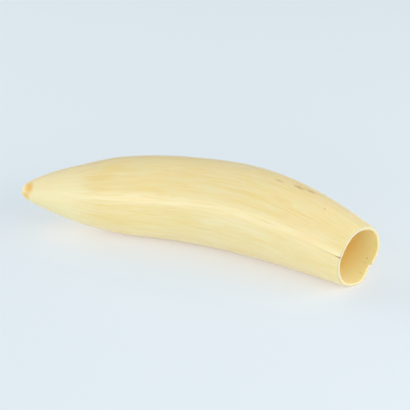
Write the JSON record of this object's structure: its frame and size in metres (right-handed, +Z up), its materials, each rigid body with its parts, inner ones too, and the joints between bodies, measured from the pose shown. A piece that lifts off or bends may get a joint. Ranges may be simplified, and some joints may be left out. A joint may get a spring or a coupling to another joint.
{
  "type": "whale tooth",
  "caption": "Curved, tapering whale tooth lying on its side, solid ivory at the worn tip and hollow at the open root, which ends in a thin, chipped and cracked rim.",
  "frame": {"origin": "middle of the tooth's footprint box, on the surface that it lies on", "axes": "+X from the crown's tip to the open root along the chord, +Y towards the outside of the bow, +Z up"},
  "size_m": [0.1398, 0.0444, 0.0338],
  "materials": {
    "ivory": "polished, with a soft shine"
  },
  "bodies": {
    "root": {"tooth": "ivory"}
  },
  "joints": []
}
